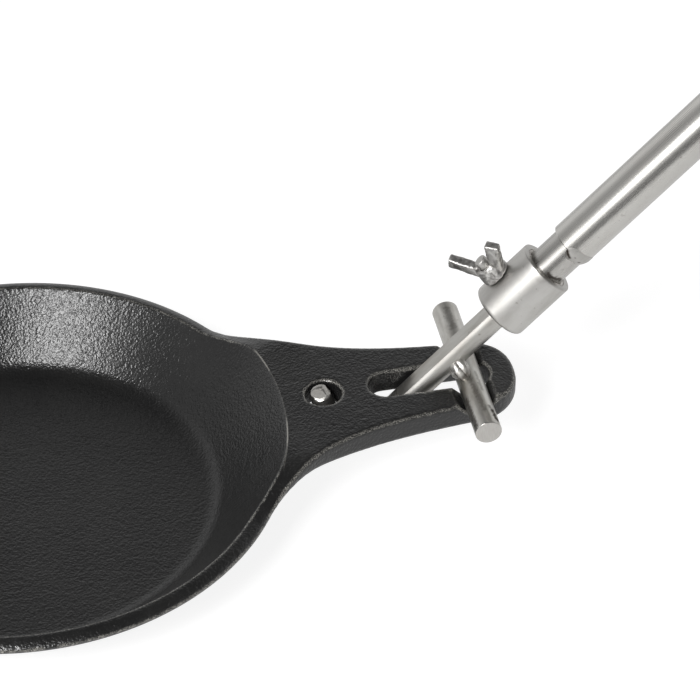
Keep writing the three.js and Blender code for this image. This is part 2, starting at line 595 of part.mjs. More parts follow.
// The wing head on the screw: a tapered hub with two square-ended wings.
function wingHead() {
  const base = COLLAR_RADIUS + FIT + 0.2;
  const bore = SCREW_RADIUS + FIT;
  const top = base + HUB_HEIGHT;
  const hub = turned([
    [bore, base],
    [HUB_RADIUS - 0.6, base],
    [HUB_RADIUS, base + 0.6],
    [HUB_RADIUS, base + HUB_HEIGHT * 0.25],
    [HUB_TOP_RADIUS + 0.3, top - HUB_HEIGHT * 0.2],
    [HUB_TOP_RADIUS - 0.3, top],
    [bore, top],
    [bore, base],
  ], BAR_STEPS);
  const run = WING_SPAN / 2 - HUB_TOP_RADIUS;
  const lean = Math.atan2(run + 1.4, WING_RISE - 3);
  const tip = new THREE.Vector2(WING_SPAN / 2, WING_RISE);
  const half = new THREE.Vector2(Math.cos(lean), -Math.sin(lean)).multiplyScalar(WING_WIDTH / 2);
  const inner = tip.clone().sub(half);
  const outer = tip.clone().add(half);
  const shape = new THREE.Shape();
  shape.moveTo(bore + 0.7, 1.4);
  shape.lineTo(bore + 0.5, HUB_HEIGHT - 0.9);
  shape.quadraticCurveTo(bore + 2.4, HUB_HEIGHT + 2.6, inner.x, inner.y);
  shape.lineTo(outer.x, outer.y);
  shape.quadraticCurveTo(HUB_RADIUS + 3.4, HUB_HEIGHT * 0.85, HUB_RADIUS - 0.4, 1.4);
  shape.closePath();
  const bevel = 0.35;
  const wing = new THREE.ExtrudeGeometry(shape, {
    depth: WING_THICKNESS - 2 * bevel,
    bevelThickness: bevel,
    bevelSize: bevel,
    bevelOffset: -bevel,
    bevelSegments: 1,
    curveSegments: 7,
  });
  wing.translate(0, 0, -(WING_THICKNESS - 2 * bevel) / 2).rotateX(Math.PI / 2).translate(0, 0, base);
  const other = wing.clone().rotateZ(Math.PI);
  const hole = turned([[0, base - 1], [bore, base - 1], [bore, top + 20], [0, top + 20]], BAR_STEPS);
  const body = solidOf(hub).add(solidOf(wing)).add(solidOf(other));
  return geometryOf(body.subtract(solidOf(hole)));
}

const steel = () => material(0xb9b6b0, 0.32, 1);
const brushed = () => material(0xc4c2bd, 0.42, 1);
const weld = () => material(0xa8a49c, 0.5, 1);

function mesh(name, geometry, look) {
  const piece = new THREE.Mesh(geometry, look);
  piece.name = name;
  return piece;
}

const fryingPan = new THREE.Group();
fryingPan.add(mesh('pan', pan(), material(0x242424, 0.62, 0.35)));

// The handle group stands on the cross bar's axis, turned up to the handle's slope.
const handle = new THREE.Group();
handle.position.set(BAR_X, HOOK_SIDE, BAR_HEIGHT);
handle.rotation.y = -THREE.MathUtils.degToRad(ROD_ANGLE);
handle.add(mesh('hook_rod', hookRod(), steel()));
handle.add(mesh('cross_bar', crossBar(), steel()));
handle.add(mesh('bar_weld_near', barWeld(-1, 5.6), weld()));
handle.add(mesh('bar_weld_far', barWeld(1, 3), weld()));

// Everything that slides on the rod, on the rod's own axis.
const slider = new THREE.Group();
slider.position.z = ROD_LIFT;
slider.add(mesh('collar', collar(), brushed()));
slider.add(mesh('collar_weld', collarWeld(), weld()));
slider.add(mesh('inner_tube', innerTube(), steel()));
slider.add(mesh('outer_tube', outerTube(), steel()));
slider.add(mesh('tube_weld', tubeWeld(), weld()));
slider.add(mesh('end_plug', endPlug(), steel()));

// The clamp screw crosses the collar square to the rod's flat.
const clamp = new THREE.Group();
clamp.position.x = COLLAR_START + SCREW_PLACE;
clamp.rotation.x = -THREE.MathUtils.degToRad(SCREW_LEAN);
clamp.add(mesh('clamp_screw', clampScrew(), steel()));
const wings = mesh('wing_head', wingHead(), steel());
wings.rotation.z = THREE.MathUtils.degToRad(WING_REST);
clamp.add(wings);
slider.add(clamp);
handle.add(slider);
fryingPan.add(handle);

export default fryingPan;
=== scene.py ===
import json
import math

import bmesh
import bpy
import numpy as np
from mathutils import Matrix, Vector, noise


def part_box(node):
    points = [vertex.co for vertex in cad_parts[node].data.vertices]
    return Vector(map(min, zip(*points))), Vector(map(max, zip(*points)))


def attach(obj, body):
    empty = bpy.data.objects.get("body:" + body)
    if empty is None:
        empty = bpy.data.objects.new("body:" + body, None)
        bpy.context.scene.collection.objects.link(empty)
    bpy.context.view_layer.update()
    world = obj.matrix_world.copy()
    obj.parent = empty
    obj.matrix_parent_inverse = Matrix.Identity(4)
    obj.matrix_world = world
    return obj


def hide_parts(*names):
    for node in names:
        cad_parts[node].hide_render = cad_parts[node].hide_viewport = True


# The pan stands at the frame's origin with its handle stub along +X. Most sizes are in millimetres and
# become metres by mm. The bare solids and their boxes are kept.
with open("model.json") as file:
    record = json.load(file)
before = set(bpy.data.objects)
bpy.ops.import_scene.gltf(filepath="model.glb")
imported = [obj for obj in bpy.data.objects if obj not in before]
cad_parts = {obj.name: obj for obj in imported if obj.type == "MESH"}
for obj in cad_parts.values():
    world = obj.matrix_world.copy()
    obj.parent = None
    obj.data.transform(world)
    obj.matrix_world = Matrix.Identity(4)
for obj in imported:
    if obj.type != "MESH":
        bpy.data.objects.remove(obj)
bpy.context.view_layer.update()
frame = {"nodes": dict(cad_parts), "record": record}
scene = bpy.context.scene
scene.view_settings.view_transform = "Standard"
mm = 0.001

# Camera: a long lens from the pan's near side, above the table and turned a little toward the handle.
# Its focal length and middle row are counted in pixels of the square picture, and its turns in degrees.
PICTURE_PIXELS = 700
FOCAL_PIXELS = 3300
CENTRE_ROW = 349
VIEW_POINT = (-76.39, -1087.28, 1015.12)
LOOK_DOWN = 40.47
LOOK_RIGHT = 11.87
lens = bpy.data.cameras.new("view")
lens.sensor_width = 36
lens.lens = FOCAL_PIXELS / PICTURE_PIXELS * lens.sensor_width
lens.shift_y = (CENTRE_ROW - PICTURE_PIXELS / 2) / PICTURE_PIXELS
lens.clip_end = 100
camera = bpy.data.objects.new("view", lens)
camera.location = Vector(VIEW_POINT) * mm
camera.rotation_euler = (math.radians(90 - LOOK_DOWN), 0, math.radians(-LOOK_RIGHT))
scene.collection.objects.link(camera)
scene.camera = camera

# Table: a white sweep that the pan stands on. It is white in the picture and in reflections, and keeps a
# faint shadow under the pan. In front it stops short, so that the steel mirrors the dark room there.
TABLE_LEFT, TABLE_RIGHT = -1.6, 1.9
TABLE_FRONT, TABLE_BACK = -0.62, 3
TABLE_DROP = 0.0002


def add_node(tree, kind, inputs=None, **settings):
    made = tree.nodes.new(kind)
    for key, value in settings.items():
        setattr(made, key, value)
    for key, value in (inputs or {}).items():
        if isinstance(value, bpy.types.NodeSocket):
            tree.links.new(value, made.inputs[key])
        else:
            made.inputs[key].default_value = value
    return made


def new_material(name):
    made = bpy.data.materials.new(name)
    made.use_nodes = True
    made.node_tree.nodes.clear()
    return made, made.node_tree


def grey(level):
    return (level, level, level, 1)


def reckoned(tree, operation, *values):
    """The result of one sum on numbers or sockets."""
    return add_node(tree, "ShaderNodeMath", dict(enumerate(values)), operation=operation).outputs[0]


def shader_mix(tree, share, first, second):
    return add_node(tree, "ShaderNodeMixShader", {0: share, 1: first, 2: second}).outputs[0]


def lit_and_glowing(tree, white, strength):
    """A matt white that is lit by the lamps and also glows by itself."""
    matt = add_node(tree, "ShaderNodeBsdfDiffuse", {"Color": grey(white)})
    glow = add_node(tree, "ShaderNodeEmission", {"Color": grey(1), "Strength": strength})
    return add_node(tree, "ShaderNodeAddShader", {0: matt.outputs[0], 1: glow.outputs[0]}).outputs[0]


table_white, tree = new_material("table_white")
lit = add_node(tree, "ShaderNodeBsdfDiffuse", {"Color": grey(0.8)}).outputs[0]
pale = lit_and_glowing(tree, 0.3, 0.86)
reflected = lit_and_glowing(tree, 0.76, 0.22)
seen = add_node(tree, "ShaderNodeLightPath").outputs
mirrored = reckoned(tree, "MAXIMUM", seen["Is Glossy Ray"], seen["Is Transmission Ray"])
unseen = shader_mix(tree, mirrored, lit, reflected)
shown = shader_mix(tree, seen["Is Camera Ray"], unseen, pale)
add_node(tree, "ShaderNodeOutputMaterial", {"Surface": shown})

table_mesh = bpy.data.meshes.new("table")
table_corners = [
    (TABLE_LEFT, TABLE_FRONT, 0), (TABLE_RIGHT, TABLE_FRONT, 0),
    (TABLE_RIGHT, TABLE_BACK, 0), (TABLE_LEFT, TABLE_BACK, 0)]
table_mesh.from_pydata(table_corners, [], [(0, 1, 2, 3)])
table_mesh.materials.append(table_white)
table = bpy.data.objects.new("table", table_mesh)
table.location.z = -TABLE_DROP
scene.collection.objects.link(table)

# Light: a studio with a white wall low behind the table, grey at the left, dark above and toward the
# camera. A strong soft box stands high at the near left, and a dim one lower beside it shows as the
# streak along the steel.
LAMP_AIM = Vector((0.06, 0.0, 0.03))
LAMP_DISTANCE = 1.5
studio = bpy.data.worlds.new("studio")
scene.world = studio
studio.use_nodes = True
tree = studio.node_tree
tree.nodes.clear()
way = add_node(tree, "ShaderNodeTexCoord").outputs["Generated"]
ways = add_node(tree, "ShaderNodeSeparateXYZ", {0: way}).outputs


def height_ramp(stops):
    """Brightness of the studio at the sine of each height above the horizon."""
    made = add_node(tree, "ShaderNodeValToRGB", {0: ways["Z"]})
    points = made.color_ramp.elements
    points[0].position, points[1].position = stops[0][0], stops[-1][0]
    for sine, _ in stops[1:-1]:
        points.new(sine)
    for point, (_, level) in zip(points, stops):
        point.color = grey(level)
    return made.outputs[0]


def ranged(tree, value, low, high, to_low=0.0, to_high=1.0):
    """Stretches the values between low and high over the range from to_low to to_high."""
    limits = {0: value, 1: low, 2: high, 3: to_low, 4: to_high}
    return add_node(tree, "ShaderNodeMapRange", limits).outputs[0]


def color_mix(tree, share, first, second):
    return add_node(tree, "ShaderNodeMix", {0: share, 6: first, 7: second}, data_type="RGBA").outputs[2]


def soft_box(name, azimuth, elevation, size, power):
    lamp = bpy.data.lights.new(name, "AREA")
    lamp.shape = "RECTANGLE"
    lamp.size, lamp.size_y = size
    lamp.energy = power
    made = bpy.data.objects.new(name, lamp)
    az, el = math.radians(azimuth), math.radians(elevation)
    way_out = Vector((math.cos(az) * math.cos(el), math.sin(az) * math.cos(el), math.sin(el)))
    made.location = LAMP_AIM + way_out * LAMP_DISTANCE
    made.rotation_euler = way_out.to_track_quat("Z", "Y").to_euler()
    scene.collection.objects.link(made)


behind = height_ramp([
    (0.0, 0.8), (0.3, 0.9), (0.48, 0.72), (0.6, 0.42), (0.7, 0.24), (0.8, 0.08), (1.0, 0.05)])
before = height_ramp([(0.0, 0.14), (0.15, 0.26), (0.6, 0.15), (0.8, 0.08), (1.0, 0.05)])
walls = color_mix(tree, ranged(tree, ways["Y"], -0.85, -0.1), before, behind)
left_dimmed = ranged(tree, ways["X"], -0.9, -0.66, 0.5)
surround = add_node(tree, "ShaderNodeBackground", {"Color": walls, "Strength": left_dimmed}).outputs[0]
backdrop = add_node(tree, "ShaderNodeBackground", {"Color": grey(1), "Strength": 1.0}).outputs[0]
seen = add_node(tree, "ShaderNodeLightPath").outputs
around = shader_mix(tree, seen["Is Camera Ray"], surround, backdrop)
add_node(tree, "ShaderNodeOutputWorld", {"Surface": around})
soft_box("high_box", azimuth=-127, elevation=43, size=(0.5, 0.46), power=24)
soft_box("low_box", azimuth=-139, elevation=17, size=(0.5, 0.5), power=1.25)

# Pan: one iron casting with a slotted stub for the handle, seasoned nearly black. The casting skin is
# grainy all over and its edges are soft and worn in specks. Along the crest between the bowl and the
# stub a thin highlight is painted in dashes, in the same brighter iron as the worn specks.
PAN_VOXEL = 0.85
PAN_KEEP = 0.42
CAST_FACETS = 96
ROUND_OUT_TO = 122.5
ROUND_FADE = 1.5
FLOOR_FADE = 40
CREST_RADIUS = 121.4
CREST_RISE = 0.35
CREST_LINE = (0.1, 0.4)
STUB_ROOT = (40.5, 42.5)
EDGE_STANDS_OUT = (0.125, 0.195)
SKIN_RELIEF = 0.3
SEASONED_BLACK = (0.0075, 0.0075, 0.0076, 1)
SEASONED_BROWN = (0.012, 0.0119, 0.0117, 1)
WORN_IRON_AND_HIGHLIGHT = (0.31, 0.3, 0.275, 1)


def copy_of_solid(node_name, name):
    """A copy of a solid's mesh whose loose triangles are joined."""
    copied = frame["nodes"][node_name].data.copy()
    copied.name = name
    copied.materials.clear()
    welded = bmesh.new()
    welded.from_mesh(copied)
    bmesh.ops.remove_doubles(welded, verts=welded.verts, dist=1e-6)
    welded.to_mesh(copied)
    welded.free()
    made = bpy.data.objects.new(name, copied)
    scene.collection.objects.link(made)
    return made


def bake(obj):
    """Keeps what an object's modifiers make as its plain mesh."""
    graph = bpy.context.evaluated_depsgraph_get()
    final = bpy.data.meshes.new_from_object(obj.evaluated_get(graph), depsgraph=graph)
    obj.modifiers.clear()
    old = obj.data
    obj.data = final
    bpy.data.meshes.remove(old)


def points_of(mesh):
    flat = np.empty(len(mesh.vertices) * 3)
    mesh.vertices.foreach_get("co", flat)
    return flat.reshape(-1, 3)


def normals_of(mesh):
    flat = np.empty(len(mesh.vertices) * 3)
    mesh.vertices.foreach_get("normal", flat)
    return flat.reshape(-1, 3)


def set_points(mesh, points):
    mesh.vertices.foreach_set("co", points.ravel())
    mesh.update()


def keep_values(mesh, name, values):
    mesh.attributes.new(name, "FLOAT", "POINT").data.foreach_set("value", values)


def recast(obj, voxel, rounds, keep):
    """Gives a joined body one even skin with softly rounded edges, as a casting or a weld has."""
    skin = obj.modifiers.new("skin", "REMESH")
    skin.mode = "VOXEL"
    skin.voxel_size = voxel * mm
    skin.use_smooth_shade = True
    ease = obj.modifiers.new("ease", "SMOOTH")
    ease.factor = 0.5
    ease.iterations = rounds
    bake(obj)
    thin = obj.modifiers.new("thin", "DECIMATE")
    thin.ratio = keep
    bake(obj)
    obj.data.shade_smooth()


def finish_piece(obj, material, body, node_name):
    obj.data.materials.clear()
    obj.data.materials.append(material)
    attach(obj, body)
    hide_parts(node_name)


def keep_relief(mesh, rounds):
    """Stores how far each point stands out of the skin round it, in millimetres."""
    points = points_of(mesh)
    ends = np.empty(len(mesh.edges) * 2, dtype=np.int32)
    mesh.edges.foreach_get("vertices", ends)
    first, second = ends.reshape(-1, 2).T
    neighbours = np.bincount(ends, minlength=len(points))
    level = points.copy()
    for _ in range(rounds):
        total = np.stack([
            np.bincount(first, level[second, k], len(points))
            + np.bincount(second, level[first, k], len(points))
            for k in range(3)], axis=1)
        level = 0.5 * level + 0.5 * total / neighbours[:, None]
    stand = np.einsum("ij,ij->i", points - level, normals_of(mesh)) / mm
    keep_values(mesh, "stand", stand)
    return stand


def unevenness(points, scale, fine_scale):
    """Noise of two sizes at each point, the finer at half strength."""
    return np.array([
        noise.noise(Vector(p) * scale) + 0.5 * noise.noise(Vector(p) * fine_scale) for p in points])


def keep_marks(mesh, strokes, ragged=0.9):
    """Stores how strong marks are: rust, heat tint, painted shade and a painted highlight. A stroke is a
    row of points, a width and a depth.
    """
    points = points_of(mesh)
    uneven = unevenness(points, 900, 2300)
    marks = np.zeros(len(points))
    for row, width, depth in strokes:
        for start, end in zip(row[:-1], row[1:]):
            run = np.asarray(end) - start
            share = np.clip((points - start) @ run / (run @ run), 0, 1)
            away = np.linalg.norm(points - start - share[:, None] * run, axis=1) / (width * mm)
            marks = np.maximum(marks, depth * np.clip(1.5 - away + ragged * uneven, 0, 1))
    keep_values(mesh, "marks", marks)


pan = copy_of_solid("pan", "pan_casting")
recast(pan, PAN_VOXEL, 3, PAN_KEEP)
# The solid's bowl has flat facets. Inside the rim its points are moved out to the true circle.
points = points_of(pan.data)
radius = np.hypot(points[:, 0], points[:, 1])
turn = np.arctan2(points[:, 1], points[:, 0])
facet = 2 * math.pi / CAST_FACETS
off_middle = np.mod(turn, facet) - facet / 2
true_radius = radius * np.cos(off_middle) / math.cos(facet / 2)
share = np.clip((ROUND_OUT_TO * mm - radius) / (ROUND_FADE * mm), 0, 1)
share *= np.clip(radius / (FLOOR_FADE * mm), 0, 1)
grow = 1 + (true_radius / np.maximum(radius, 1e-9) - 1) * share
points[:, :2] *= grow[:, None]
set_points(pan.data, points)
keep_relief(pan.data, 6)


def on_crest(turn):
    """The point on the crest between bowl and stub at a turn in degrees from the stub's middle."""
    return np.array([
        math.cos(math.radians(turn)), math.sin(math.radians(turn)), CREST_RISE]) * (CREST_RADIUS * mm)


# The strokes set where the painted highlight on the crest is strong, in dashes.
keep_marks(pan.data, [
    ([on_crest(17), on_crest(11.5)], 2.0, 0.9),
    ([on_crest(11), on_crest(-6)], 2.0, 0.12),
    ([on_crest(-7), on_crest(-13)], 2.0, 1.0),
    ([on_crest(-13), on_crest(-23)], 2.0, 0.3)])


def on_object(tree):
    return add_node(tree, "ShaderNodeTexCoord").outputs["Object"]


def mottle(tree, place, scale, detail, roughness=0.5):
    """Cloudy noise with about scale spots to a metre."""
    inputs = {"Vector": place, "Scale": scale, "Detail": detail, "Roughness": roughness}
    return add_node(tree, "ShaderNodeTexNoise", inputs).outputs["Fac"]


def kept(tree, name):
    """The values that a mesh keeps at its points under a name."""
    return add_node(tree, "ShaderNodeAttribute", attribute_name=name).outputs["Fac"]


def bumped(tree, height, distance):
    inputs = {"Height": height, "Distance": distance, "Strength": 1.0}
    return add_node(tree, "ShaderNodeBump", inputs).outputs[0]


def add_surface(tree, inputs):
    surface = add_node(tree, "ShaderNodeBsdfPrincipled", inputs)
    add_node(tree, "ShaderNodeOutputMaterial", {"Surface": surface.outputs[0]})


casting_skin, tree = new_material("casting_skin")
place = on_object(tree)
skin_height = reckoned(
    tree, "MULTIPLY_ADD", mottle(tree, place, 400, 2), 0.7, mottle(tree, place, 900, 1))
patches = mottle(tree, place, 38, 5, 0.6)
iron = color_mix(tree, ranged(tree, patches, 0.3, 0.7), SEASONED_BLACK, SEASONED_BROWN)
edge = ranged(tree, kept(tree, "stand"), *EDGE_STANDS_OUT)
spots = reckoned(tree, "MULTIPLY", edge, ranged(tree, mottle(tree, place, 2300, 1), 0.45, 0.62))
# From here on, a thin band along the crest at the stub's root is painted brighter as a highlight where
# the kept strokes say.
across = add_node(tree, "ShaderNodeSeparateXYZ", {0: place}).outputs
flat_place = add_node(tree, "ShaderNodeCombineXYZ", {0: across["X"], 1: across["Y"]}).outputs[0]
out_from_middle = add_node(
    tree, "ShaderNodeVectorMath", {0: flat_place}, operation="LENGTH").outputs["Value"]
off_crest = reckoned(tree, "ABSOLUTE", reckoned(tree, "SUBTRACT", out_from_middle, CREST_RADIUS * mm))
crest = ranged(tree, off_crest, CREST_LINE[0] * mm, CREST_LINE[1] * mm, 1.0, 0.0)
on_root = ranged(tree, across["Z"], STUB_ROOT[0] * mm, STUB_ROOT[1] * mm)
line = reckoned(tree, "MULTIPLY", reckoned(tree, "MULTIPLY", crest, on_root), kept(tree, "marks"))
wear_and_highlight = reckoned(tree, "MAXIMUM", spots, line)
add_surface(tree, {
    "Base Color": color_mix(tree, wear_and_highlight, iron, WORN_IRON_AND_HIGHLIGHT),
    "Roughness": ranged(tree, patches, 0.3, 0.7, 0.29, 0.33),
    "Metallic": reckoned(tree, "MULTIPLY", wear_and_highlight, 0.5),
    "Specular IOR Level": 0.6,
    "Normal": bumped(tree, skin_height, SKIN_RELIEF * mm)})
finish_piece(pan, casting_skin, "pan", "pan")

# Hook rod: bright drawn round bar with a flat milled along its upper side for the clamp screw, bent hot
# into a hook. Its tip is tapered and ground blunt, with three flats.
joints = {joint["name"]: joint for joint in frame["record"]["behaviour"]["joints"]}
bar_middle = np.array(joints["handle_tilt"]["pos_m"])
up_handle = np.array(joints["handle_reach"]["axis"])
far_side = np.array([0.0, 1.0, 0.0])
off_handle = np.cross(up_handle, far_side)
slope = math.atan2(up_handle[2], up_handle[0])
ROD_RADIUS = 6.0
ROD_LIFT = 12.3
ROD_END = 118.0
ROD_END_CHAMFER = 0.5
BEND_RADIUS = 18.8
BEND_STEPS = 48
FLAT_DEPTH = 1.5
FLAT_START = -28.0
FLAT_LEAN = math.radians(5)
FLAT_STEPS = 16
ROUND_STEPS = 80
TIP_X = 138.6
TIP_LEAN = math.radians(12)
TIP_LENGTH = 8.0
TIP_STEPS = 8
TIP_RADIUS = 4.2
TIP_TAPER = 20.0
TIP_LONGER = 1.2
TIP_CROWN_DEPTH = 1.1
TIP_CROWN = (
    (0.0, 0.0), (0.2, 0.02), (0.4, 0.06), (0.6, 0.15), (0.75, 0.28), (0.87, 0.48), (0.95, 0.75))
TIP_FLATS = (((-0.24, -0.43, 0.87), 2.9), ((0.47, -0.17, 0.87), 3.8), ((-0.21, -0.69, 0.69), 3.6))
TIP_FLATS_FROM = 4.0
TIP_RINGS = 18
SHARP_TURN = math.radians(38)


def from_handle(points):
    """Places points given in millimetres along the handle, to the far side and off the handle."""
    p = np.asarray(points, dtype=float) * mm
    return bar_middle + p[..., 0:1] * up_handle + p[..., 1:2] * far_side + p[..., 2:3] * off_handle


def skinned(name, rings, caps=True):
    """A closed skin over rows of rings, shaded smooth with its true edges left sharp."""
    rows, steps = len(rings), len(rings[0])
    vertices = np.concatenate([np.asarray(ring) for ring in rings])
    faces = []
    for i in range(rows - 1):
        for j in range(steps):
            k = (j + 1) % steps
            faces.append((i * steps + j, i * steps + k, (i + 1) * steps + k, (i + 1) * steps + j))
    if caps:
        faces.append(tuple(reversed(range(steps))))
        faces.append(tuple((rows - 1) * steps + j for j in range(steps)))
    else:
        for j in range(steps):
            k = (j + 1) % steps
            faces.append(((rows - 1) * steps + j, (rows - 1) * steps + k, k, j))
    mesh = bpy.data.meshes.new(name)
    mesh.from_pydata([tuple(v) for v in vertices], [], faces)
    body = bmesh.new()
    body.from_mesh(mesh)
    bmesh.ops.remove_doubles(body, verts=body.verts, dist=1e-7)
    bmesh.ops.recalc_face_normals(body, faces=body.faces)
    body.to_mesh(mesh)
    body.free()
    mesh.shade_smooth()
    mesh.set_sharp_from_angle(angle=SHARP_TURN)
    made = bpy.data.objects.new(name, mesh)
    scene.collection.objects.link(made)
    return made


def on_bend(turn, beyond=0.0):
    """The rod's middle line from the bend's start: a turn round the bend, and straight on beyond it."""
    along = -BEND_RADIUS * math.sin(turn) - beyond * math.cos(turn)
    off = ROD_LIFT + BEND_RADIUS - BEND_RADIUS * math.cos(turn) + beyond * math.sin(turn)
    return along, off


bend_turn = slope + math.pi / 2 - TIP_LEAN
reach_along, reach_off = on_bend(bend_turn, TIP_LENGTH)
tip_along = (TIP_X - bar_middle[0] / mm + reach_off * math.sin(slope)) / math.cos(slope)
bend_start = tip_along - reach_along
# Each station on the rod has its place along and off the handle, its turn and its distance from the tip.
stations = []
for i in range(TIP_STEPS + 1):
    beyond = TIP_LENGTH * (1 - i / TIP_STEPS)
    along, off = on_bend(bend_turn, beyond)
    stations.append((bend_start + along, off, bend_turn, TIP_LENGTH - beyond))
for i in range(1, BEND_STEPS + 1):
    angle = bend_turn * (1 - i / BEND_STEPS)
    along, off = on_bend(angle)
    stations.append((bend_start + along, off, angle, TIP_LENGTH + BEND_RADIUS * (bend_turn - angle)))
straight = [FLAT_START - 0.6, FLAT_START]
straight += [*np.linspace(FLAT_START + 5, ROD_END - ROD_END_CHAMFER, 24), ROD_END]
stations += [(along, ROD_LIFT, 0.0, math.inf) for along in straight]
# Every ring has points on the two edges of the flat, so that they stay crisp.
flat_half = math.acos(1 - FLAT_DEPTH / ROD_RADIUS)
flat_turns = np.linspace(-flat_half, flat_half, FLAT_STEPS + 1)
round_turns = np.linspace(flat_half, 2 * math.pi - flat_half, ROUND_STEPS + 1)[1:-1]
turns = np.concatenate([flat_turns, round_turns])
flatten = np.ones(len(turns))
flatten[:len(flat_turns)] = math.cos(flat_half) / np.cos(flat_turns)
rings = []
for along, off, angle, from_tip in stations:
    taper = math.sin(math.pi / 2 * min(from_tip / TIP_TAPER, 1))
    size = TIP_RADIUS + (ROD_RADIUS - TIP_RADIUS) * taper
    if along == ROD_END:
        size -= ROD_END_CHAMFER
    if angle == 0 and along >= FLAT_START:
        size = size * flatten
    side = size * np.sin(turns + FLAT_LEAN)
    above = size * np.cos(turns + FLAT_LEAN)
    ring = np.stack([along + above * math.sin(angle), side, off + above * math.cos(angle)], axis=1)
    rings.append(from_handle(ring))
outward = rings[0].mean(axis=0) - rings[1].mean(axis=0)
outward /= np.linalg.norm(outward)
tip_ring = rings[0] + outward * TIP_LONGER * mm
tip_middle = tip_ring.mean(axis=0)
crown = [
    tip_middle + (tip_ring - tip_middle) * scale - outward * drop * mm for scale, drop in TIP_CROWN]
rings = crown + [tip_ring - outward * TIP_CROWN_DEPTH * mm] + rings[2:]
heart = tip_middle - outward * TIP_FLATS_FROM * mm
for facing, depth in TIP_FLATS:
    facing = np.array(facing) / np.linalg.norm(facing)
    for ring in rings[:TIP_RINGS]:
        over = np.maximum((ring - heart) @ facing - depth * mm, 0)
        ring -= over[:, None] * facing
hook_rod = skinned("hook_rod_bar", rings)


def add_sockets(group, inputs, outputs):
    """Gives a node group its inputs, each a name, a kind and a value, and its outputs."""
    for label, kind, value in inputs:
        socket = group.interface.new_socket(label, in_out="INPUT", socket_type=kind)
        if value is not None:
            socket.default_value = value
    for label, kind in outputs:
        group.interface.new_socket(label, in_out="OUTPUT", socket_type=kind)


def stretched(tree, place, scale):
    made = add_node(tree, "ShaderNodeVectorMath", {0: place, 1: scale}, operation="MULTIPLY")
    return made.outputs[0]


steel_marks = bpy.data.node_groups.new("steel_marks", "ShaderNodeTree")
add_sockets(steel_marks, (
    ("Vector", "NodeSocketVector", None),
    ("Along", "NodeSocketFloat", 30.0),
    ("Across", "NodeSocketFloat", 2500.0),
), [(label, "NodeSocketFloat") for label in ("Lines", "Stain", "Pits")])
given = add_node(steel_marks, "NodeGroupInput").outputs
line_scale = add_node(steel_marks, "ShaderNodeCombineXYZ", {
    0: given["Along"], 1: given["Across"], 2: given["Across"]}).outputs[0]
lines = mottle(steel_marks, stretched(steel_marks, given["Vector"], line_scale), 1.0, 4, 0.6)
stains = mottle(steel_marks, stretched(steel_marks, given["Vector"], (0.3, 1.0, 1.0)), 130, 4, 0.6)
specks = mottle(steel_marks, given["Vector"], 520, 2)
add_node(steel_marks, "NodeGroupOutput", {
    "Lines": lines,
    "Stain": ranged(steel_marks, stains, 0.44, 0.72),
    "Pits": ranged(steel_marks, specks, 0.66, 0.76)})
ALONG_HANDLE = (0, slope, 0)
BURN_AND_SHADE_BROWN = (0.045, 0.035, 0.028, 1)


def steel(name, color, dark, rough, spread, relief, along=30, across=2500, lie=ALONG_HANDLE,
          stain_share=1.0, marked=False):
    """Bright steel: fine drawn or turned lines, soft darker stains and a few small pits."""
    made, tree = new_material(name)
    lined_up = add_node(tree, "ShaderNodeMapping", {"Vector": on_object(tree), "Rotation": lie})
    marks = add_node(tree, "ShaderNodeGroup", {
        "Vector": lined_up.outputs[0], "Along": along, "Across": across}, node_tree=steel_marks).outputs
    stained = reckoned(tree, "MULTIPLY", marks["Stain"], stain_share)
    deeper = reckoned(tree, "MAXIMUM", stained, marks["Pits"])
    tint = color_mix(tree, deeper, (*color, 1), (*dark, 1))
    shine = ranged(tree, marks["Lines"], 0.3, 0.7, rough - spread, rough + spread)
    dull = reckoned(tree, "MULTIPLY_ADD", deeper, 0.06, shine)
    cut = reckoned(tree, "MULTIPLY_ADD", marks["Pits"], -0.5, marks["Lines"])
    # Kept marks turn it brown and rougher: rust and heat tint, and on the bar welds, the inner tube's
    # end and the tube weld also painted shade.
    if marked:
        burn_and_shade = kept(tree, "marks")
        tint = color_mix(tree, burn_and_shade, tint, BURN_AND_SHADE_BROWN)
        dull = reckoned(tree, "MULTIPLY_ADD", burn_and_shade, 0.25, dull)
    add_surface(tree, {
        "Base Color": tint, "Roughness": dull, "Metallic": 1.0, "Normal": bumped(tree, cut, relief)})
    return made


rod_steel = steel("drawn_rod", (0.5, 0.49, 0.465), dark=(0.36, 0.34, 0.31), rough=0.4, spread=0.05,
                  relief=0.000006)
finish_piece(hook_rod, rod_steel, "hook", "hook_rod")

# Cross bar: a length of the same round bar that is welded across under the rod and lies in the stub's
# groove. It is sawn off at both ends and left as cut, with some rust and weld burn on it.
BAR_RADIUS = 6.0
BAR_END_ROUND = 0.45
BAR_END_BAND = 1
BAR_RINGS = 130
ON_AXIS = 0.001
SAWN_FACING = 0.95
ALONG_BAR = (0, 0, math.pi / 2)
bar_half = (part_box("cross_bar")[1][1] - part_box("cross_bar")[0][1]) / 2 / mm


def turned_body(name, profile, middle, axis, steps=96, caps=True):
    """Turns a profile of (radius, place) pairs in millimetres about an axis through a point."""
    axis = np.asarray(axis) / np.linalg.norm(axis)
    side = np.cross(axis, [0.0, 0.0, 1.0] if abs(axis[2]) < 0.9 else [1.0, 0.0, 0.0])
    side /= np.linalg.norm(side)
    other = np.cross(axis, side)
    around = np.linspace(0, 2 * math.pi, steps, endpoint=False)
    circle = np.cos(around)[:, None] * side + np.sin(around)[:, None] * other
    rings = [middle + (circle * radius + axis * place) * mm for radius, place in profile]
    return skinned(name, rings, caps)


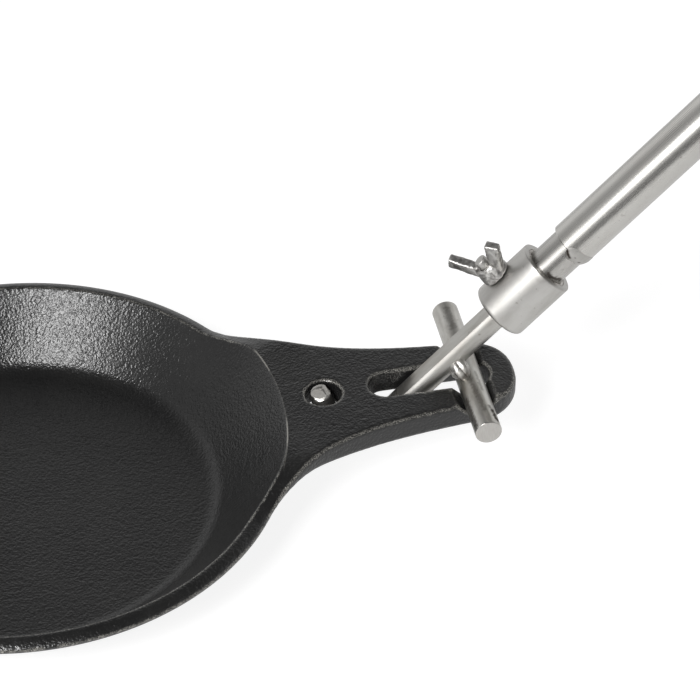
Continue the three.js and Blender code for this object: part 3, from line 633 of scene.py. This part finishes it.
def rounded(profile, radius, steps=4):
    """Rounds the inner corners of an open profile."""
    soft = [profile[0]]
    for before, corner, after in zip(profile, profile[1:], profile[2:]):
        before, corner, after = map(np.array, (before, corner, after))
        back, on = before - corner, after - corner
        cut = min(radius, np.linalg.norm(back) * 0.45, np.linalg.norm(on) * 0.45)
        start = corner + back / np.linalg.norm(back) * cut
        end = corner + on / np.linalg.norm(on) * cut
        for i in range(steps + 1):
            t = i / steps
            soft.append(tuple((1 - t) ** 2 * start + 2 * t * (1 - t) * corner + t ** 2 * end))
    soft.append(profile[-1])
    return soft


band_start = BAR_END_BAND - bar_half
band_end = bar_half - BAR_END_BAND
bar_profile = rounded([
    (ON_AXIS, -bar_half), (BAR_RADIUS, -bar_half), (BAR_RADIUS, band_start)], BAR_END_ROUND)[:-1]
bar_profile += [(BAR_RADIUS, place) for place in np.linspace(band_start, band_end, BAR_RINGS)]
bar_profile += rounded([
    (BAR_RADIUS, band_end), (BAR_RADIUS, bar_half), (ON_AXIS, bar_half)], BAR_END_ROUND)[1:]
cross_bar = turned_body("cross_bar_rod", bar_profile, bar_middle, far_side)


def on_bar(turn, place):
    """The point on the bar at a turn in degrees from its top to the stub's end, and a place along it."""
    psi = math.radians(turn)
    return bar_middle + np.array([math.sin(psi) * BAR_RADIUS, place, math.cos(psi) * BAR_RADIUS]) * mm


rust = [on_bar(30, -31), on_bar(38, -34), on_bar(43, -37), on_bar(46, -39.5)]
keep_marks(cross_bar.data, [
    (rust[1:], 1.1, 1.0),
    (rust[:3], 0.7, 0.6),
    ([on_bar(-16, -10), on_bar(-8, -22), on_bar(2, -34)], 0.9, 0.45),
    ([on_bar(20, -8), on_bar(24, -20)], 0.6, 0.35),
    ([on_bar(-62, -40), on_bar(-66, -22)], 1.2, 0.75),
    ([on_bar(-8, 24), on_bar(-4, 38)], 1.4, 0.4)])
bar_steel = steel("drawn_bar", (0.55, 0.54, 0.51), dark=(0.3, 0.28, 0.25), rough=0.32, spread=0.04,
                  relief=0.000004, lie=ALONG_BAR, marked=True)
sawn_end, tree = new_material("sawn_end")
saw_lines = add_node(tree, "ShaderNodeMapping", {
    "Vector": on_object(tree), "Scale": (2600, 100, 300), "Rotation": (0, 0.5, 0)}).outputs[0]
saw = mottle(tree, saw_lines, 1.0, 3)
saw_tint = color_mix(tree, ranged(tree, saw, 0.3, 0.7), (0.5, 0.485, 0.46, 1), (0.58, 0.565, 0.54, 1))
add_surface(tree, {
    "Base Color": saw_tint, "Roughness": 0.5, "Metallic": 1.0, "Normal": bumped(tree, saw, 0.00004)})
finish_piece(cross_bar, bar_steel, "hook", "cross_bar")
cross_bar.data.materials.append(sawn_end)
for face in cross_bar.data.polygons:
    if abs(face.normal.y) > SAWN_FACING:
        face.material_index = 1

# Bar welds: a short fat bead on each side in the corner between rod and bar, laid in two or three runs
# that show as ridges, with painted shade darkening the creases between them. The near one is the larger.
BEAD_ROWS = 48
BEAD_STEPS = 72
RIDGE_HEIGHT = 0.17
CLEAR_ALONG = 0.2
CLEAR_OFF = 5.8
CREASE_FROM = 0.004
CREASE_SPAN = 0.03
CREASE_DARKEST = 0.92


def weld_lump(name, middle, lead, outward, sizes, seed, ridges=3, land=math.inf):
    """A lump of weld metal with ridges side by side, in the handle's own frame.

    Beyond the land's edge it stays above the stub's top when the handle is tilted right up.
    """
    lead, outward = Vector(lead).normalized(), Vector(outward)
    outward = (outward - lead * outward.dot(lead)).normalized()
    across = lead.cross(outward)
    rings = []
    for i in range(BEAD_ROWS + 1):
        lat = math.pi * i / BEAD_ROWS
        ring = []
        for j in range(BEAD_STEPS):
            lon = 2 * math.pi * j / BEAD_STEPS
            d = Vector((math.cos(lat), math.sin(lat) * math.cos(lon), math.sin(lat) * math.sin(lon)))
            wave = abs(math.cos(ridges * math.pi / 2 * (d.y + 0.3 * d.x) + seed)) ** 0.6
            ripple = RIDGE_HEIGHT * wave * math.sin(lat)
            lump = 0.88 + ripple + 0.07 * noise.noise(d * 2.1 + Vector((seed, 0, 0)))
            lump += 0.02 * noise.noise(d * 7 + Vector((0, seed, 0)))
            point = lead * (d.x * sizes[0]) + across * (d.y * sizes[1]) + outward * (d.z * sizes[2])
            place = np.array(middle) + np.array(point) * lump
            lowest = CLEAR_ALONG - 0.9 * max(CLEAR_OFF - place[2], 0) - 2 * max(land + place[1], 0)
            place[0] = max(place[0], lowest)
            ring.append(place)
        rings.append(from_handle(ring))
    return skinned(name, rings)


bead_steel = steel("bare_bead", (0.6, 0.59, 0.56), dark=(0.26, 0.24, 0.22), rough=0.46, spread=0.06,
                   relief=0.00002, along=400, across=400, marked=True)
bead_near = weld_lump("bar_weld_near_bead", (1.8, -7.1, 8.5), lead=(-0.3, -0.67, -0.74),
                      outward=(0.2, -0.74, 0.67), sizes=(5.9, 4.4, 3.2), seed=2.4, ridges=2, land=9.2)
bead_far = weld_lump("bar_weld_far_bead", (0.0, 5.2, 7.4), lead=(0.2, 0.67, -0.74),
                     outward=(0.0, 0.74, 0.67), sizes=(3.6, 2.6, 1.9), seed=7.7)
# The creases between the runs are painted dark in the brown as shade, by how far each point lies below
# the skin round it.
for bead in (bead_near, bead_far):
    hollow = -keep_relief(bead.data, 6)
    keep_values(bead.data, "marks", np.clip((hollow - CREASE_FROM) / CREASE_SPAN, 0, CREASE_DARKEST))
finish_piece(bead_near, bead_steel, "hook", "bar_weld_near")
finish_piece(bead_far, bead_steel, "hook", "bar_weld_far")

# Collar: turned from bar and left with a fine satin surface, bored for the rod and counterbored for the
# tube. The clamp screw's hole goes through its near wall.
FIT = 0.3
COLLAR_START = 32.5
COLLAR_END = 63.2
COLLAR_RADIUS = 13.6
NOSE_ROUND = 2.3
MOUTH_ROUND = 0.5
MOUTH_FLARE = 1.5
MOUTH_DEPTH = 2.6
SOCKET_DEPTH = 11.0
INNER_RADIUS = 9.0
SCREW_RADIUS = 3.0
HOLE_START = 4
HOLE_END = COLLAR_RADIUS + 2
collar_bore = ROD_RADIUS + FIT
collar_seat = INNER_RADIUS + FIT
rod_middle = bar_middle + off_handle * ROD_LIFT * mm
collar_profile = [(collar_bore, COLLAR_START + 6), (collar_bore, COLLAR_START)]
collar_profile += rounded([
    (collar_bore + 0.3, COLLAR_START), (COLLAR_RADIUS, COLLAR_START),
    (COLLAR_RADIUS, COLLAR_END - 3)], NOSE_ROUND, 8)
collar_profile += rounded([
    (COLLAR_RADIUS, COLLAR_END - 2.5), (COLLAR_RADIUS, COLLAR_END),
    (collar_seat + MOUTH_FLARE, COLLAR_END)], MOUTH_ROUND)
collar_profile += [
    (collar_seat + MOUTH_FLARE, COLLAR_END), (collar_seat, COLLAR_END - MOUTH_DEPTH),
    (collar_seat, COLLAR_END - SOCKET_DEPTH), (collar_bore, COLLAR_END - SOCKET_DEPTH)]
collar = turned_body("collar_ring", collar_profile, rod_middle, up_handle, 128, caps=False)
screw_middle = np.array(joints["wing_turn"]["pos_m"])
screw_axis = np.array(joints["wing_turn"]["axis"])
screw_axis /= np.linalg.norm(screw_axis)
hole_radius = SCREW_RADIUS + FIT
screw_hole = turned_body("screw_hole", [
    (ON_AXIS, HOLE_START), (hole_radius, HOLE_START), (hole_radius, HOLE_END), (ON_AXIS, HOLE_END)],
    screw_middle, screw_axis, 64)
drilled = collar.modifiers.new("screw_hole", "BOOLEAN")
drilled.operation = "DIFFERENCE"
drilled.solver = "EXACT"
drilled.object = screw_hole
bake(collar)
bpy.data.objects.remove(screw_hole)
collar.data.shade_smooth()
collar.data.set_sharp_from_angle(angle=SHARP_TURN)
collar_steel = steel("turned_satin", (0.56, 0.55, 0.53), dark=(0.38, 0.365, 0.34), rough=0.42,
                     spread=0.06, relief=0.000012, along=3200, across=60, stain_share=0.5)
finish_piece(collar, collar_steel, "handle", "collar")

# Collar weld: a thin bead of weld metal, laid as overlapping drops round the tube in the collar's mouth.
# It is left as it cooled, dark from the heat.
WELD_RADIUS = 9.85
WELD_DROP = 0.95
WELD_DROPS = 46
WELD_SEED = 5
WELD_INSET = 0.75
SMALLEST_DROP = (0.8, 0.8, 0.55)
LARGEST_DROP = (1.25, 1.25, 1.1)


def add_dressed_output(tree, geometry, material):
    """Ends a Geometry Nodes tree in plain geometry with its material."""
    real = add_node(tree, "GeometryNodeRealizeInstances", {0: geometry})
    dressed = add_node(tree, "GeometryNodeSetMaterial", {
        "Geometry": real.outputs[0], "Material": material})
    add_node(tree, "NodeGroupOutput", {0: dressed.outputs[0]})


def run_nodes(obj, node_tree, material):
    """Runs a Geometry Nodes tree once on an object and keeps what it makes as a plain mesh."""
    run = obj.modifiers.new(node_tree.name, "NODES")
    run.node_group = node_tree
    for item in node_tree.interface.items_tree:
        if item.in_out == "INPUT" and item.name == "Material":
            run[item.identifier] = material
    bake(obj)


def placed_frame(*axes):
    """Turns the frame of X, Y and Z into the three axes that are given."""
    return Matrix((*((*axis, 0) for axis in axes), (0, 0, 0, 1))).transposed()


weld_ring = bpy.data.node_groups.new("weld_ring", "GeometryNodeTree")
add_sockets(weld_ring, (
    ("Radius", "NodeSocketFloat", WELD_RADIUS * mm),
    ("Drop", "NodeSocketFloat", WELD_DROP * mm),
    ("Count", "NodeSocketInt", WELD_DROPS),
    ("Seed", "NodeSocketInt", WELD_SEED),
    ("Material", "NodeSocketMaterial", None),
), [("Geometry", "NodeSocketGeometry")])
given = add_node(weld_ring, "NodeGroupInput").outputs
circle = add_node(weld_ring, "GeometryNodeMeshCircle", {
    "Vertices": given["Count"], "Radius": given["Radius"]})
drop = add_node(weld_ring, "GeometryNodeMeshIcoSphere", {"Radius": given["Drop"], "Subdivisions": 3})
drop_size = add_node(weld_ring, "FunctionNodeRandomValue", {
    0: SMALLEST_DROP, 1: LARGEST_DROP, "Seed": given["Seed"]}, data_type="FLOAT_VECTOR")
drops = add_node(weld_ring, "GeometryNodeInstanceOnPoints", {
    "Points": circle.outputs[0], "Instance": drop.outputs[0], "Scale": drop_size.outputs[0]})
add_dressed_output(weld_ring, drops.outputs[0], given["Material"])
burnt_steel = steel("burnt_bead", (0.55, 0.53, 0.5), dark=(0.25, 0.23, 0.21), rough=0.3, spread=0.06,
                    relief=0.00003, along=300, across=300)
collar_weld = bpy.data.objects.new("collar_weld_ring", bpy.data.meshes.new("collar_weld_ring"))
scene.collection.objects.link(collar_weld)
run_nodes(collar_weld, weld_ring, burnt_steel)
recast(collar_weld, 0.2, 1, 0.6)
mouth_middle = Vector(rod_middle + up_handle * (COLLAR_END - WELD_INSET) * mm)
collar_weld.data.transform(
    Matrix.Translation(mouth_middle) @ placed_frame(far_side, off_handle, up_handle))
finish_piece(collar_weld, burnt_steel, "handle", "collar_weld")

# Inner tube and outer tube: two lengths of bright drawn steel tube. The inner one is welded into the
# collar and burnt a little there, and the outer one is pushed over it to make the grip.
TUBE_WALL = 1.2
OUTER_RADIUS = 10.5
OUTER_START = 78.8
OUTER_LENGTH = 350.0
TUBE_OVERLAP = 42.0
BURN_RINGS = np.linspace(61, 69, 30)
EDGE_RINGS = np.linspace(77.4, 79.4, 14)
outer_end = OUTER_START + OUTER_LENGTH


def tube(name, inner, outer, start, end, edge, rings=()):
    """A tube with a small chamfer at both ends, and more rings where marks are kept on it."""
    profile = [(inner, start + 1), (inner, start), (outer - edge, start), (outer, start + edge)]
    profile += [(outer, place) for place in rings]
    profile += [(outer, end - edge), (outer - edge, end), (inner, end)]
    return turned_body(name, profile, rod_middle, up_handle, 128, caps=False)


def on_tube(turn, place, out=10.3):
    """The point on the tubes at a turn in degrees from their top to the near side, and a place along."""
    psi = math.radians(turn)
    return from_handle((place, -out * math.sin(psi), ROD_LIFT + out * math.cos(psi)))


inner_tube = tube("inner_tube_pipe", INNER_RADIUS - TUBE_WALL, INNER_RADIUS,
                  COLLAR_END - (SOCKET_DEPTH - FIT), OUTER_START + TUBE_OVERLAP, 0.1,
                  [*BURN_RINGS, *EDGE_RINGS])
burn_row = [on_tube(turn, 64.7 + 0.5 * math.sin(turn), INNER_RADIUS) for turn in range(66, 118, 7)]
# A thin line round the inner tube, just before the outer tube's end, is painted dark as that edge's
# shadow.
edge_shadow_row = [on_tube(turn, 78.7, INNER_RADIUS) for turn in range(-100, 61, 8)]
keep_marks(inner_tube.data, [(burn_row, 0.9, 0.85), (edge_shadow_row, 0.3, 0.5)])
tube_steel = steel("drawn_tube", (0.48, 0.47, 0.45), dark=(0.38, 0.37, 0.35), rough=0.27, spread=0.04,
                   relief=0.000003, along=12, across=1800, marked=True)
finish_piece(inner_tube, tube_steel, "handle", "inner_tube")
outer_tube = tube("outer_tube_pipe", OUTER_RADIUS - TUBE_WALL, OUTER_RADIUS,
                  OUTER_START, outer_end, 0.35)
grip_steel = steel("drawn_grip", (0.565, 0.555, 0.53), dark=(0.48, 0.465, 0.44), rough=0.25,
                   spread=0.03, relief=0.000002, along=8, across=1500, stain_share=0.6)
finish_piece(outer_tube, grip_steel, "handle", "outer_tube")

# Tube weld: a patch of weld that fills the step between the two tubes on the near side, ground to a
# smooth slope that feathers out, with a few small pores left in it.
PATCH_TURN = math.radians(104)
PATCH_HALF = math.radians(52)
PATCH_FOOT = 3.4
PATCH_LENGTH = 3.6
PATCH_RUN_OUT = 0.9
PATCH_PROUD = 0.1
PATCH_INSIDE = 0.3
PATCH_ROWS = 40
PATCH_STEPS = 96


def patch_turn(j):
    """How far to the side a column of the patch lies, from -1 to 1, and its turn round the tube."""
    side = 2 * j / PATCH_STEPS - 1
    return side, PATCH_TURN + PATCH_HALF * side


patch_rings = []
for i in range(PATCH_ROWS + 1):
    share = i / PATCH_ROWS
    ring = []
    for j in range(PATCH_STEPS + 1):
        side, psi = patch_turn(j)
        waver = noise.noise(Vector((side * 2.4, 3.0, 0.0)))
        fade = (1 - abs(side) ** 6) ** 0.5
        first = OUTER_START - (PATCH_FOOT + 0.5 * waver) * fade
        last = OUTER_START + (PATCH_LENGTH + 0.7 * waver) * fade
        s = first + (last - first) * share
        rise = min(max((s - first) / (OUTER_START - first + PATCH_RUN_OUT), 0), 1)
        step_height = OUTER_RADIUS + PATCH_PROUD - INNER_RADIUS
        crown = INNER_RADIUS + 0.02 + step_height * math.sin(rise * math.pi / 2)
        crown += 0.05 * noise.noise(Vector((side * 5, s * 0.5, 1.0)))
        if share in (0.0, 1.0):
            crown -= 0.2
        ring.append((s, -crown * math.sin(psi), ROD_LIFT + crown * math.cos(psi)))
    inside = INNER_RADIUS - PATCH_INSIDE
    for j in range(PATCH_STEPS, -1, -1):
        psi = patch_turn(j)[1]
        ring.append((ring[j][0], -inside * math.sin(psi), ROD_LIFT + inside * math.cos(psi)))
    patch_rings.append(from_handle(ring))
tube_weld = skinned("tube_weld_patch", patch_rings)
# A dark crescent is painted as shade in the crevice where the patch starts at the outer tube's end.
crescent_shade = [on_tube(56, 78.2), on_tube(61, 77.5), on_tube(67, 76.9), on_tube(73, 76.5)]
seam = [on_tube(55, 79.0), on_tube(69, 80.8), on_tube(80, 82.0), on_tube(95, 82.4)]
keep_marks(tube_weld.data, [
    (crescent_shade, 0.8, 1.0),
    (seam, 0.25, 0.75),
    ([on_tube(82, 78.5), on_tube(83, 78.5)], 0.3, 1.0),
    ([on_tube(101, 77.2), on_tube(106, 77.5)], 0.4, 0.9),
    ([on_tube(92, 79.8), on_tube(93, 79.9)], 0.15, 0.6)], ragged=0.3)
patch_steel = steel("ground_patch", (0.5, 0.49, 0.47), dark=(0.34, 0.33, 0.31), rough=0.4, spread=0.05,
                    relief=0.00001, along=500, across=900, stain_share=0.7, marked=True)
finish_piece(tube_weld, patch_steel, "handle", "tube_weld")

# End plug: a cap turned from steel bar that closes the handle's far end. Its stem is pushed into the
# tube, and its domed head is as wide as the tube.
PLUG_LENGTH = 14
PLUG_CHAMFER = 0.8
PLUG_BAND = 1.0
PLUG_DOME = 2.0
DOME_STEPS = 14
plug_end = outer_end + FIT
plug_radius = OUTER_RADIUS - TUBE_WALL - FIT
stem_end = outer_end - PLUG_LENGTH
plug_profile = [
    (ON_AXIS, stem_end), (plug_radius - PLUG_CHAMFER, stem_end), (plug_radius, stem_end + PLUG_CHAMFER),
    (plug_radius, plug_end)]
plug_profile += rounded([
    (plug_radius + 0.1, plug_end), (OUTER_RADIUS, plug_end), (OUTER_RADIUS, plug_end + 0.7)], 0.3)
plug_profile += [
    (OUTER_RADIUS * math.cos(t), plug_end + PLUG_BAND + PLUG_DOME * math.sin(t))
    for t in np.linspace(0, math.pi / 2 * 0.999, DOME_STEPS)]
end_plug = turned_body("end_plug_cap", plug_profile, rod_middle, up_handle)
plug_steel = steel("plug_satin", (0.52, 0.52, 0.51), dark=(0.42, 0.41, 0.4), rough=0.36, spread=0.05,
                   relief=0.00001, along=300, across=300, stain_share=0.4)
finish_piece(end_plug, plug_steel, "handle", "end_plug")

# Clamp screw: an M6 steel screw that presses on the rod's flat. Its thread is rolled, its end is plain,
# and its smooth top is held in the wing head.
SCREW_START = 5.0
THREAD_START = SCREW_START + 0.6
THREAD_END = 20.0
THREAD_TURNS = THREAD_END - SCREW_START - 1
THREAD_PITCH = 1.0
THREAD_ROOT = 2.5
THREAD_DEPTH = 0.5
SCREW_END = 25.1
SHANK_RADIUS = 2.9
SCREW_CHAMFER = 0.35
screw = turned_body("clamp_screw_stud", rounded([
    (ON_AXIS, SCREW_START), (THREAD_ROOT, SCREW_START), (THREAD_ROOT, THREAD_END + 0.5),
    (SHANK_RADIUS, THREAD_END + 1.0), (SHANK_RADIUS, SCREW_END - SCREW_CHAMFER),
    (SHANK_RADIUS - SCREW_CHAMFER, SCREW_END), (ON_AXIS, SCREW_END)], 0.2, 3),
    np.zeros(3), (0, 0, 1), 64)
rolled_thread = bpy.data.node_groups.new("rolled_thread", "GeometryNodeTree")
add_sockets(rolled_thread, (
    ("Geometry", "NodeSocketGeometry", None),
    ("Radius", "NodeSocketFloat", THREAD_ROOT * mm),
    ("Turns", "NodeSocketFloat", THREAD_TURNS),
    ("Start", "NodeSocketVector", (0, 0, THREAD_START * mm)),
    ("Length", "NodeSocketFloat", THREAD_TURNS * THREAD_PITCH * mm),
    ("Depth", "NodeSocketFloat", THREAD_DEPTH * mm),
    ("Material", "NodeSocketMaterial", None),
), [("Geometry", "NodeSocketGeometry")])
given = add_node(rolled_thread, "NodeGroupInput").outputs
helix = add_node(rolled_thread, "GeometryNodeCurveSpiral", {
    "Resolution": 48, "Rotations": given["Turns"], "Start Radius": given["Radius"],
    "End Radius": given["Radius"], "Height": given["Length"]})
ridge = add_node(rolled_thread, "GeometryNodeCurvePrimitiveCircle", {
    "Resolution": 6, "Radius": given["Depth"]})
swept = add_node(rolled_thread, "GeometryNodeCurveToMesh", {
    "Curve": helix.outputs[0], "Profile Curve": ridge.outputs[0], "Fill Caps": True})
raised = add_node(rolled_thread, "GeometryNodeTransform", {
    "Geometry": swept.outputs[0], "Translation": given["Start"]})
joined = add_node(rolled_thread, "GeometryNodeJoinGeometry")
rolled_thread.links.new(given["Geometry"], joined.inputs[0])
rolled_thread.links.new(raised.outputs[0], joined.inputs[0])
add_dressed_output(rolled_thread, joined.outputs[0], given["Material"])
screw_steel = steel("screw_bright", (0.6, 0.59, 0.57), dark=(0.42, 0.41, 0.39), rough=0.46, spread=0.04,
                    relief=0.000006, along=300, across=300)
run_nodes(screw, rolled_thread, screw_steel)
recast(screw, 0.14, 1, 0.6)
screw_side = Vector(screw_axis).orthogonal().normalized()
screw_frame = placed_frame(screw_side, Vector(screw_axis).cross(screw_side), screw_axis)
screw.data.transform(Matrix.Translation(Vector(screw_middle)) @ screw_frame)
finish_piece(screw, screw_steel, "screw", "clamp_screw")

# Wing head: a small steel casting fixed on the screw, a tapered hub with two square-ended wings that
# thicken toward it. It is polished by use on its high places, and its corners are painted darker as
# shade.
WING_FULLER = 0.34
HUB_REACH = 4.5
HUB_FADE = 3
WING_END_FADE = 9
WING_UNEVEN = 0.26
WING_DARK = (0.22, 0.21, 0.2, 1)
WING_POLISHED = (0.7, 0.69, 0.67, 1)
wing_head = copy_of_solid("wing_head", "wing_head_casting")
recast(wing_head, 0.24, 26, 0.5)
points = points_of(wing_head.data)
rise = (points - screw_middle) @ screw_axis
lateral = points - screw_middle - rise[:, None] * screw_axis
wing_line = np.linalg.eigh(lateral.T @ lateral)[1][:, -1]
wing_face = np.cross(screw_axis, wing_line)
out_along = np.abs(lateral @ wing_line) / mm
grow = WING_FULLER * np.clip((out_along - HUB_REACH) / HUB_FADE, 0, 1)
grow *= np.clip((out_along.max() - out_along) / WING_END_FADE, 0, 1)
points += ((lateral @ wing_face) * grow)[:, None] * wing_face
set_points(wing_head.data, points)
uneven = unevenness(points, 330, 900) * WING_UNEVEN * mm
set_points(wing_head.data, points + normals_of(wing_head.data) * uneven[:, None])
keep_relief(wing_head.data, 10)
wing_metal, tree = new_material("wing_metal")
blotches = mottle(tree, on_object(tree), 420, 4, 0.6)
# Where the skin stands out it turns lighter, polished by use; in its corners it is painted darker as
# shade.
height = reckoned(tree, "MULTIPLY_ADD", blotches, 0.45, kept(tree, "stand"))
polish_and_shade = ranged(tree, height, 0.15, 0.34)
add_surface(tree, {
    "Base Color": color_mix(tree, polish_and_shade, WING_DARK, WING_POLISHED),
    "Roughness": ranged(tree, polish_and_shade, 0.0, 1.0, 0.5, 0.44),
    "Metallic": 1.0,
    "Normal": bumped(tree, blotches, 0.0002)})
finish_piece(wing_head, wing_metal, "wings", "wing_head")
